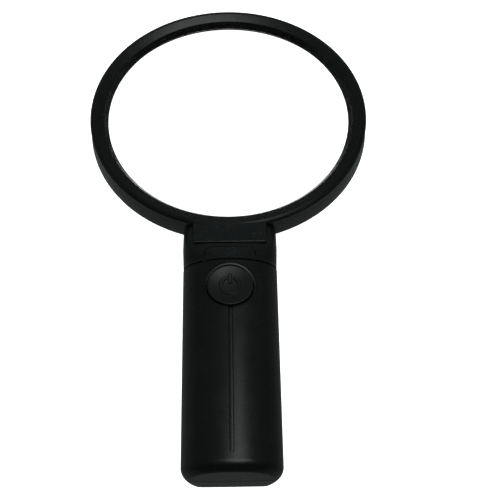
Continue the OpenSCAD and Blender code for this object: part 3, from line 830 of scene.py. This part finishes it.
def on_slope():
    """Frame at the crown of the seam whose Y runs down the neck towards the ring."""
    return Matrix.Translation((0, SEAM_Y, CROWN_Z)) @ Matrix.Rotation(-SLOPE, 4, "X")


def slope_box(half, y0, y1, z0, z1):
    """Cutter that lies along the slope of the neck."""
    place = on_slope()
    turn, shift = np.array(place.to_3x3()), np.array(place.translation)
    outline = np.array([(-half, y0), (half, y0), (half, y1), (-half, y1)], float)
    rings = [np.column_stack([outline, np.full(4, z)]) @ turn.T + shift for z in (z0, z1)]
    return loft("cutter", rings)


def bezel():
    profile = rounded([
        (OPENING_R, 8.2, 0.12), (OPENING_R, 8.75, 0.12), (68.8, 11.8, 0.9), (73.35, 13.33, 1.6),
        (74.0, 13.48, 0.5), (75.5, 12.85, 0.8), (RING_R, 12.1, 0.7), (RING_R, BEZEL_Z, 0.2),
        (SPIGOT_R, BEZEL_Z, 0),
        (SPIGOT_R, 5, 0.3), (71.6, 5, 0.3), (71.6, 10, 0.3), (70.3, 8.2, 0.3),
    ], 6)
    ring = spin("lens_bezel", profile, (0, RING_Y), RING_SEGMENTS)
    outline = rounded([
        (-PLATE_HALF_W, PLATE_NEAR, 1.0), (PLATE_HALF_W, PLATE_NEAR, 1.0),
        (PLATE_HALF_W + PLATE_FLARE, PLATE_FAR, 0), (-PLATE_HALF_W - PLATE_FLARE, PLATE_FAR, 0),
    ], 6)
    plate = prism("plate", outline, -PLATE_SKIRT, 0, PLATE_EDGE, 6, on_slope())
    inner = PLATE_HALF_W - PLATE_T
    cut(
        plate,
        slope_box(inner, PLATE_NEAR + PLATE_T, 60, -3 * PLATE_SKIRT, -PLATE_T),
        slope_box(
            PLATE_HALF_W + 2, PLATE_NEAR - 1, PLATE_NEAR + PLATE_T, -3 * PLATE_SKIRT, -PLATE_END_SKIRT,
        ),
        post("cutter", 0, RING_Y, SPIGOT_R - 1, -20, 30, RING_SEGMENTS),
    )
    join(ring, plate)
    return tidy_mesh(ring)


TAB_HALF_W = 12.6
TAB_CORNER_R = 4.0
TAB_T = 1.3
TAB_TOP_Y = RING_Y - 91.6


def neck_mid_z(y):
    return PART_Z - NECK_FALL * (y - SEAM_Y)


def neck_shape(y):
    """Half width and fullness of the neck's section: an ellipse at the seam, squarer at the plate."""
    t = np.clip((y - SEAM_Y - 1) / (NECK_FULL_Y - SEAM_Y - 1), 0, 1)
    return HALF_W - 0.1 + NECK_SPREAD * t, 2 + (NECK_FULL - 2) * eased(t)


def neck_drop(y):
    """How far the neck's crown lies below the plane of the plate."""
    t = np.clip((y - SEAM_Y - 3) / (NECK_FULL_Y - SEAM_Y - 3), 0, 1)
    return NECK_DROP + PLATE_RISE * eased(t)


def crown_at(x, y, under):
    """Height of a surface that follows the neck's crown, under it by a depth."""
    half, full = neck_shape(y)
    across = np.maximum(1 - (np.abs(x) / half) ** full, 0)
    return neck_mid_z(y) + (CROWN_H - neck_drop(y) - under) * across ** (1 / full)


def tab_half_width(y):
    into = np.maximum(y - (TAB_TOP_Y - TAB_CORNER_R), 0)
    return TAB_HALF_W - TAB_CORNER_R + np.sqrt(np.maximum(TAB_CORNER_R**2 - into**2, 0))


def neck_tab():
    turn = np.linspace(0, math.pi / 2, 14)
    arch = TAB_TOP_Y - TAB_CORNER_R * (1 - np.sin(turn))
    rows = np.concatenate([[NECK_START_Y, NECK_START_Y + 0.5], arch])
    columns = np.linspace(-1, 1, 33)
    half = tab_half_width(rows)[:, None] * columns
    y = np.repeat(rows[:, None], len(columns), 1)
    top = np.stack([half, y, crown_at(half, y, -TAB_PROUD)], -1)
    bottom = top.copy()
    bottom[..., 2] = crown_at(half, y, TAB_T)
    return sheet_solid("neck_cover_tab", top, bottom, 0.3)


# ---- head housing

LAMP_R = 2.6
LAMP_BOSS_R = LAMP_R + 1.3
LAMP_BOSS_TOP = 3.4
LAMP_POST_R = 2.6
LAMP_POST_TOP = 8.95
TONGUE_HALF_W = 17.5
TONGUE_Z = 6.7
TONGUE_HOLE_X = 14
RING_BASE_T = 2.2


def neck_outline(y, inset, corner):
    """Section of the neck in X and Z: rounded crown over a flat back."""
    mid = neck_mid_z(y)
    half, full = neck_shape(y)
    a, b = half - inset, CROWN_H - neck_drop(y) - inset
    back = mid - min(mid, inset)
    points = []
    for t in np.linspace(0, math.pi, 81):
        c, d = math.cos(t), max(math.sin(t), 0)
        across, up = math.copysign(abs(c) ** (2 / full), c), d ** (2 / full)
        points.append((across * a, mid + b * up))
    turn = np.linspace(0, math.pi / 2, 11)
    points += [(-(a - corner) - corner * math.cos(t), mid - back * math.sin(t)) for t in turn[1:]]
    points += [((a - corner) + corner * math.sin(t), mid - back * math.cos(t)) for t in turn[:-1]]
    return np.array(points)


def upright(outline, y):
    """Points of a section in X and Z, at a place along the handle."""
    return np.column_stack([outline[:, 0], np.full(len(outline), y), outline[:, 1]])


def neck_loft(inset):
    """Neck from the seam into the ring. The outer one has an eased edge at the seam."""
    y0, y1 = NECK_START_Y, RING_Y - 71.8
    corner0, corner1 = BACK_CORNER - 0.9 * inset, 0.5
    start = y0 + inset
    rows = [(start, corner0)]
    for y in np.linspace(start, y1, 20)[1:]:
        rows.append((y, corner0 + (corner1 - corner0) * (y - y0) / (y1 - y0)))
    rings = []
    if not inset:
        for t in np.linspace(0, math.pi / 2, 5)[:-1]:
            flat = inset_outline(neck_outline(y0, 0, corner0), NECK_EDGE * (1 - math.sin(t)))
            rings.append(upright(flat, y0 + NECK_EDGE * (1 - math.cos(t))))
        rows[0] = (y0 + NECK_EDGE, corner0)
    rings += [upright(neck_outline(y, inset, corner), y) for y, corner in rows]
    return loft("neck", rings)


def lamp_well(x, y):
    """Cutter for a lamp's bore."""
    return spin("cutter", flared(LAMP_R, 0.5) + [(LAMP_R, 5), (0, 5)], (x, y), 64)


def lamp_places():
    return [tuple((low(node)[:2] + high(node)[:2]) / 2) for node in ("led_left", "led_right")]


def lamp_posts(name, lamps):
    """The bosses round the lamps, and the post for the screw between them."""
    bosses = [post(name, x, y, LAMP_BOSS_R, 0, LAMP_BOSS_TOP) for x, y in lamps]
    return bosses + [post(name, 0, lamps[0][1], LAMP_POST_R, 1, LAMP_POST_TOP)]


def tab_cutter():
    """Cutter for the tab's seat, a little wider than the tab."""
    grow = TAB_GAP
    turn = np.linspace(0, math.pi / 2, 12)
    half, r = TAB_HALF_W, TAB_CORNER_R
    right = [(half + grow, SEAM_Y - 1)]
    for t in turn:
        right.append((half - r + (r + grow) * math.cos(t), TAB_TOP_Y - r + (r + grow) * math.sin(t)))
    outline = np.array(right + [(-x, y) for x, y in reversed(right)])
    n = len(outline)
    heights = (crown_at(outline[:, 0], outline[:, 1], TAB_T + 0.2), np.full(n, CROWN_Z + 5))
    verts = np.concatenate([np.column_stack([outline, z]) for z in heights])
    faces = [(k, (k + 1) % n, n + (k + 1) % n, n + k) for k in range(n)]
    faces.append(tuple(range(n))[::-1])
    faces.append(tuple(range(n, 2 * n)))
    return mesh_object("cutter", verts, faces)


def head_housing():
    ring = spin("head_housing_shell", rounded([
        (71.1, 0, 0.3), (RING_BASE_R, 0, 0.9), (RING_R - 0.2, HOUSING_TOP_Z, 0.25),
        (SPIGOT_R + SPIGOT_FIT, HOUSING_TOP_Z, 0), (SPIGOT_R + SPIGOT_FIT, RING_BASE_T, 0.4),
        (71.4, RING_BASE_T, 0.4), (71.4, 7, 0.2), (69.7, 7, 0.2),
        (69.7, 4.2, 0), (68.9, 4.2, 0.2), (68.9, 3.3, 0.3),
    ], 5), (0, RING_Y), RING_SEGMENTS)
    neck = neck_loft(0)
    cut(
        neck, neck_loft(WALL),
        post("cutter", 0, RING_Y, SPIGOT_R + 1, -5, 40, RING_SEGMENTS),
        post("cutter", 0, RING_Y, RING_R + SLOT_GAP, HOUSING_TOP_Z, 40, RING_SEGMENTS),
    )
    lamps = lamp_places()
    lamp_y = lamps[0][1]
    tongue_y = (SEAM_Y - 7.3, SEAM_Y + 1.5)
    tongue = block("tongue", -TONGUE_HALF_W, TONGUE_HALF_W, *tongue_y, TONGUE_Z, PART_Z - SLOT_GAP, edge=0.2)
    join(ring, neck, tongue, *lamp_posts("boss", lamps))
    near_half, far_half = PLATE_HALF_W + SLOT_GAP, PLATE_HALF_W + PLATE_FLARE + SLOT_GAP
    slot = prism("cutter", [
        (-near_half, PLATE_NEAR - SLOT_GAP), (near_half, PLATE_NEAR - SLOT_GAP),
        (far_half, PLATE_FAR), (-far_half, PLATE_FAR),
    ], -PLATE_SKIRT - 0.5, PLATE_SKIRT, place=on_slope())
    cut(
        slot,
        post("cutter", 0, RING_Y, 71.5, -5, 40, RING_SEGMENTS),
        block("cutter", -HALF_W, HALF_W, -25, 10, -5, RING_BASE_T),
        *lamp_posts("cutter", lamps),
    )
    cut(ring, slot, tab_cutter())
    cut(ring, *[lamp_well(x, y) for x, y in lamps])
    for side in (-1, 1):
        cut(ring, post("cutter", side * TONGUE_HOLE_X, SEAM_Y - 4.6, SCREW_HOLE_R, 0, PART_Z + 1))
    cut(ring, post("cutter", 0, lamp_y, 0.9, 4, 20))
    return tidy_mesh(ring)


# ---- lens

LENS_EDGE_Z = (4.5, 6.8)


def lens():
    """Two spherical faces and a narrow edge with small bevels."""
    r = high("lens")[0]
    bottom, top = low("lens")[2], high("lens")[2]
    edge_low, edge_high = LENS_EDGE_Z
    front, back = top - edge_high, edge_low - bottom
    front_r = (r * r + front * front) / (2 * front)
    back_r = (r * r + back * back) / (2 * back)
    steps = np.linspace(0, r - 0.2, 44)
    under = [(a, bottom + back_r - math.sqrt(back_r**2 - a * a)) for a in steps]
    over = [(a, top - front_r + math.sqrt(front_r**2 - a * a)) for a in steps[::-1]]
    profile = under + [(r, edge_low + 0.2), (r, edge_high - 0.2)] + over
    return spin("magnifying_lens", profile, (0, RING_Y), 256, 30)


# ---- camera, floor and light

CAMERA_ELEVATION = math.radians(57.447)
CAMERA_YAW = math.radians(1.528)
CAMERA_ROLL = math.radians(-0.595)
CAMERA_DISTANCE = 671.2
CAMERA_ASIDE = 12.70
CAMERA_RAISE = -69.79
CAMERA_AIM_Z = 1.65
CAMERA_LENS = 86.239
SENSOR_WIDTH = 36

# Brightness of the surroundings, to the eye and as mirrored by the plastic
FLOOR_GLOW = 1.25
WORLD_SIDES = 0.5
FLOOR_IN_GLOSS = 0.165
WORLD_BEYOND = (0.106, 0.132, 0.128)
WORLD_BEHIND = (0.006, 0.007, 0.007)
WORLD_LOW = (0.075, 0.085, 0.085)
FLOOR_TINT = (0.91, 1.0, 0.98, 1)
FLOOR_HALF = 20


def add_camera():
    """Looks down at the lens from beyond the handle, with the photograph's framing."""
    sin_e, cos_e = math.sin(CAMERA_ELEVATION), math.cos(CAMERA_ELEVATION)
    right = Vector((1, 0, 0))
    up = Vector((0, sin_e, cos_e))
    back = Vector((0, -cos_e, sin_e))
    turn = Matrix.Rotation(-CAMERA_YAW, 3, "Z")
    place = turn @ (back * CAMERA_DISTANCE + right * CAMERA_ASIDE + up * CAMERA_RAISE)
    place += Vector((0, RING_Y, CAMERA_AIM_Z))
    cos_r, sin_r = math.cos(CAMERA_ROLL), math.sin(CAMERA_ROLL)
    axes = Matrix((turn @ (right * cos_r - up * sin_r), turn @ (right * sin_r + up * cos_r), turn @ back))
    data = bpy.data.cameras.new("camera")
    data.lens = CAMERA_LENS
    data.sensor_width = SENSOR_WIDTH
    data.clip_start = 0.01
    data.clip_end = 100
    camera = bpy.data.objects.new("camera", data)
    camera.matrix_world = Matrix.Translation(place * MM) @ axes.transposed().to_4x4()
    bpy.context.scene.collection.objects.link(camera)
    bpy.context.scene.camera = camera


def calculated(tree, operation, *values):
    node = tree.nodes.new("ShaderNodeMath")
    node.operation = operation
    for value, socket in zip(values, node.inputs):
        tree.links.new(value, socket)
    return node.outputs["Value"]


def mirrored(tree):
    """1 for a ray that a glossy surface has just mirrored, and 0 for any other."""
    rays = tree.nodes.new("ShaderNodeLightPath").outputs
    return calculated(tree, "MULTIPLY", rays["Is Glossy Ray"], rays["Is Reflection Ray"])


def add_floor():
    """White to the eye. Rays that a gloss has just mirrored see it dim, as in a dark studio."""
    mesh = bpy.data.meshes.new("floor")
    corners = [(-1, -1), (1, -1), (1, 1), (-1, 1)]
    mesh.from_pydata([(FLOOR_HALF * x, FLOOR_HALF * y, 0) for x, y in corners], [], [(0, 1, 2, 3)])
    floor = bpy.data.objects.new("floor", mesh)
    bpy.context.scene.collection.objects.link(floor)
    material, tree, shader = new_material("floor_white")
    shader.inputs["Base Color"].default_value = (0.6, 0.6, 0.6, 1)
    shader.inputs["Roughness"].default_value = 0.9
    shader.inputs["Specular IOR Level"].default_value = 0.0
    shader.inputs["Emission Color"].default_value = (1, 1, 1, 1)
    shader.inputs["Emission Strength"].default_value = FLOOR_GLOW
    dim = tree.nodes.new("ShaderNodeEmission")
    dim.inputs["Color"].default_value = FLOOR_TINT
    dim.inputs["Strength"].default_value = FLOOR_IN_GLOSS
    pick = tree.nodes.new("ShaderNodeMixShader")
    tree.links.new(mirrored(tree), pick.inputs["Fac"])
    tree.links.new(shader.outputs["BSDF"], pick.inputs[1])
    tree.links.new(dim.outputs["Emission"], pick.inputs[2])
    tree.links.new(pick.outputs["Shader"], tree.nodes["Material Output"].inputs["Surface"])
    mesh.materials.append(material)


def add_light(name, toward, distance, size, power):
    """A square soft light that faces the object from a direction."""
    data = bpy.data.lights.new(name, "AREA")
    data.shape = "RECTANGLE"
    data.size, data.size_y = size
    data.energy = power
    light = bpy.data.objects.new(name, data)
    away = Vector(toward).normalized()
    light.location = Vector((0, -0.02, 0.01)) + away * distance
    light.rotation_mode = "QUATERNION"
    light.rotation_quaternion = away.to_track_quat("Z", "Y")
    bpy.context.scene.collection.objects.link(light)


def mixed(tree, factor, first, second):
    """Blends two colours, each given as a colour or as a socket."""
    mix = tree.nodes.new("ShaderNodeMix")
    mix.data_type = "RGBA"
    tree.links.new(factor, mix.inputs[0])
    for socket, colour in zip([s for s in mix.inputs if s.type == "RGBA"], (first, second)):
        if isinstance(colour, tuple):
            socket.default_value = (*colour, 1)
        else:
            tree.links.new(colour, socket)
    return next(s for s in mix.outputs if s.type == "RGBA")


def add_world():
    """White to the eye. To a mirrored ray it is dim beyond the lens and dark behind the camera."""
    world = bpy.data.worlds.new("studio")
    bpy.context.scene.world = world
    world.use_nodes = True
    tree = world.node_tree
    coord = tree.nodes.new("ShaderNodeTexCoord")
    parts = tree.nodes.new("ShaderNodeSeparateXYZ")
    tree.links.new(coord.outputs["Generated"], parts.inputs[0])
    lit = spread(tree, parts.outputs["Y"], 0, 1, -0.25, 0.10)
    aside = calculated(tree, "ABSOLUTE", parts.outputs["X"])
    ahead = calculated(tree, "MULTIPLY", lit, spread(tree, aside, 1.0, WORLD_SIDES, 0.05, 0.75))
    height = spread(tree, parts.outputs["Z"], 0, 1, 0.15, 0.50)
    behind = ramp(tree, height, [(0, WORLD_LOW), (1, WORLD_BEHIND)])
    gloss = mixed(tree, ahead, behind, WORLD_BEYOND)
    colour = mixed(tree, mirrored(tree), (1, 1, 1), gloss)
    tree.links.new(colour, tree.nodes["Background"].inputs["Color"])


# ---- materials

def new_material(name):
    material = bpy.data.materials.new(name)
    material.use_nodes = True
    return material, material.node_tree, material.node_tree.nodes["Principled BSDF"]


def noise(tree, scale, detail=2.0, rough=0.5, stretch=(1, 1, 1)):
    """A noise pattern in the object's own space, scale in cells per metre."""
    coord = tree.nodes.new("ShaderNodeTexCoord")
    mapping = tree.nodes.new("ShaderNodeMapping")
    mapping.inputs["Scale"].default_value = stretch
    pattern = tree.nodes.new("ShaderNodeTexNoise")
    pattern.inputs["Scale"].default_value = scale
    pattern.inputs["Detail"].default_value = detail
    pattern.inputs["Roughness"].default_value = rough
    tree.links.new(coord.outputs["Object"], mapping.inputs["Vector"])
    tree.links.new(mapping.outputs["Vector"], pattern.inputs["Vector"])
    return pattern.outputs["Fac"]


def ramp(tree, value, stops):
    """Maps a value to colours. Each stop is (position, colour)."""
    node = tree.nodes.new("ShaderNodeValToRGB")
    tree.links.new(value, node.inputs[0])
    elements = node.color_ramp.elements
    while len(elements) < len(stops):
        elements.new(0.5)
    for element, (position, colour) in zip(elements, stops):
        element.position = position
        element.color = (*colour, 1)
    return node.outputs["Color"]


def spread(tree, value, low_out, high_out, low_in=0.3, high_in=0.7):
    node = tree.nodes.new("ShaderNodeMapRange")
    node.inputs["From Min"].default_value = low_in
    node.inputs["From Max"].default_value = high_in
    node.inputs["To Min"].default_value = low_out
    node.inputs["To Max"].default_value = high_out
    tree.links.new(value, node.inputs["Value"])
    return node.outputs["Result"]


def bump(tree, shader, height, strength, distance):
    node = tree.nodes.new("ShaderNodeBump")
    node.inputs["Strength"].default_value = strength
    node.inputs["Distance"].default_value = distance
    tree.links.new(height, node.inputs["Height"])
    tree.links.new(node.outputs["Normal"], shader.inputs["Normal"])


def moulded_plastic(name, rough):
    """Black moulded plastic with a fine sparked grain, faint flow marks and uneven gloss."""
    material, tree, shader = new_material(name)
    dark, light = (0.0008, 0.0010, 0.0010), (0.0014, 0.0017, 0.0017)
    shade = ramp(tree, noise(tree, 45, 3), [(0.35, dark), (0.65, light)])
    tree.links.new(shade, shader.inputs["Base Color"])
    tree.links.new(spread(tree, noise(tree, 120, 4, 0.6), *rough), shader.inputs["Roughness"])
    bump(tree, shader, noise(tree, 7000, 2, 0.6), 0.35, 0.00002)
    return material


def shell_plastic():
    return moulded_plastic("shell_plastic", (0.23, 0.29))


def button_plastic():
    return moulded_plastic("button_plastic", (0.30, 0.37))


def tinted(name, dark, light, rough, scale=60, metallic=0.0, stretch=(1, 1, 1), grain=0.0):
    """A finish whose colour and gloss vary a little over the surface."""
    material, tree, shader = new_material(name)
    shader.inputs["Metallic"].default_value = metallic
    shade = noise(tree, scale, 3, 0.5, stretch)
    tree.links.new(ramp(tree, shade, [(0.35, dark), (0.65, light)]), shader.inputs["Base Color"])
    tree.links.new(spread(tree, noise(tree, 4 * scale, 3, 0.6, stretch), *rough), shader.inputs["Roughness"])
    if grain:
        bump(tree, shader, noise(tree, 4000, 2), 0.4, grain)
    return material


def lens_acrylic():
    """Clear acrylic with hardly visible unevenness in its tint.

    Real acrylic has an index of 1.49. This one is lower, because in low views the default limit on
    mirrored rays leaves the near part of so thick a lens black.
    """
    material, tree, shader = new_material("lens_acrylic")
    shader.inputs["Transmission Weight"].default_value = 1
    shader.inputs["IOR"].default_value = 1.2
    tint = ramp(tree, noise(tree, 20), [(0.3, (0.985, 0.995, 0.993)), (0.7, (0.995, 1.0, 0.999))])
    tree.links.new(tint, shader.inputs["Base Color"])
    tree.links.new(spread(tree, noise(tree, 90), 0.0, 0.002), shader.inputs["Roughness"])
    return material


def led_resin():
    """Clear resin round a small pale die."""
    material = tinted("led_resin", (0.80, 0.84, 0.86), (0.92, 0.95, 0.97), (0.06, 0.14), 300)
    shader = material.node_tree.nodes["Principled BSDF"]
    shader.inputs["Transmission Weight"].default_value = 0.6
    shader.inputs["IOR"].default_value = 1.54
    return material


def board_laminate():
    """Green solder mask over faint copper tracks."""
    material, tree, shader = new_material("circuit_board")
    tracks = noise(tree, 350, 0, 0.5, (1, 0.25, 1))
    green, track = (0.008, 0.075, 0.030), (0.016, 0.130, 0.055)
    mask = ramp(tree, tracks, [(0.44, green), (0.47, track), (0.53, track), (0.56, green)])
    tree.links.new(mask, shader.inputs["Base Color"])
    tree.links.new(spread(tree, noise(tree, 500), 0.30, 0.45), shader.inputs["Roughness"])
    bump(tree, shader, tracks, 0.2, 0.00004)
    return material


def cell_jacket():
    """Printed sleeve: a copper band at one end of a black one."""
    material, tree, shader = new_material("cell_jacket")
    coord = tree.nodes.new("ShaderNodeTexCoord")
    parts = tree.nodes.new("ShaderNodeSeparateXYZ")
    tree.links.new(coord.outputs["Object"], parts.inputs[0])
    start, end = low("battery_middle")[1] * MM, high("battery_middle")[1] * MM
    along = spread(tree, parts.outputs["Y"], 0.0, 1.0, start, end)
    black, copper = (0.018, 0.018, 0.020), (0.62, 0.27, 0.09)
    metal = (0.6, 0.6, 0.6)
    bands = ramp(tree, along, [
        (0.0, metal), (0.02, black), (0.68, black), (0.685, copper), (0.97, copper), (0.98, metal),
    ])
    tree.links.new(bands, shader.inputs["Base Color"])
    tree.links.new(spread(tree, noise(tree, 150), 0.22, 0.34), shader.inputs["Roughness"])
    shader.inputs["Metallic"].default_value = 0.5
    return material


# Dark and light shade, range of roughness, cells per metre, then what differs from tinted's defaults
TINTS = {
    "seal_rubber": ((0.016, 0.016, 0.017), (0.030, 0.030, 0.031), (0.6, 0.8), 90, {"grain": 0.00004}),
    "component_black": ((0.010, 0.010, 0.011), (0.022, 0.022, 0.023), (0.35, 0.5), 200, {"grain": 0.00002}),
    "plunger_plastic": ((0.66, 0.64, 0.56), (0.74, 0.72, 0.64), (0.35, 0.5), 150, {}),
    "tray_plastic": ((0.012, 0.012, 0.013), (0.020, 0.020, 0.021), (0.4, 0.55), 50, {"grain": 0.00003}),
    "spring_steel": ((0.50, 0.51, 0.53), (0.62, 0.63, 0.65), (0.18, 0.32), 400, {"metallic": 1.0}),
    "nickel_plate": (
        (0.62, 0.60, 0.55), (0.72, 0.70, 0.66), (0.15, 0.30), 120, {"metallic": 1.0, "stretch": (1, 6, 1)},
    ),
    "zinc_steel": ((0.52, 0.54, 0.58), (0.66, 0.68, 0.72), (0.28, 0.42), 250, {"metallic": 1.0}),
    "black_steel": ((0.030, 0.030, 0.032), (0.055, 0.055, 0.058), (0.3, 0.45), 250, {"metallic": 0.8}),
    "wire_red": ((0.42, 0.018, 0.012), (0.55, 0.030, 0.020), (0.35, 0.5), 120, {}),
    "wire_black": ((0.010, 0.010, 0.011), (0.020, 0.020, 0.021), (0.35, 0.5), 120, {}),
}


# ---- making

def shown(obj, material, body, node):
    """Gives a piece its finish and its body, and hides the CAD node that it stands for."""
    obj.data.materials.clear()
    obj.data.materials.append(material)
    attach(obj, body)
    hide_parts(node)


add_camera()
add_world()
add_floor()
add_light("overhead_softbox", (0.12, 0.10, 0.98), 1.1, (0.47, 0.48), 1.4)

black = shell_plastic()
finishes = {"led_resin": led_resin(), "circuit_board": board_laminate(), "cell_jacket": cell_jacket()}
for slot, (*look, extra) in TINTS.items():
    finishes[slot] = tinted(slot, *look, **extra)
for part in frame["record"]["subparts"]:
    node = frame["nodes"][part["node"]]
    node.data.materials.clear()
    node.data.materials.append(finishes.get(part["material_slot"], black))
    smooth(node, 30)

shown(front_shell(), black, "body", "handle_front_shell")
shown(rear_shell(), black, "body", "handle_rear_shell")
shown(battery_door(), black, "door", "battery_door")
shown(button_cap(), button_plastic(), "button", "button_cap")
shown(bezel(), black, "body", "front_bezel")
shown(neck_tab(), black, "body", "neck_tab")
shown(head_housing(), black, "body", "head_housing")
shown(lens(), lens_acrylic(), "body", "lens")

bpy.context.scene.view_settings.view_transform = "Standard"
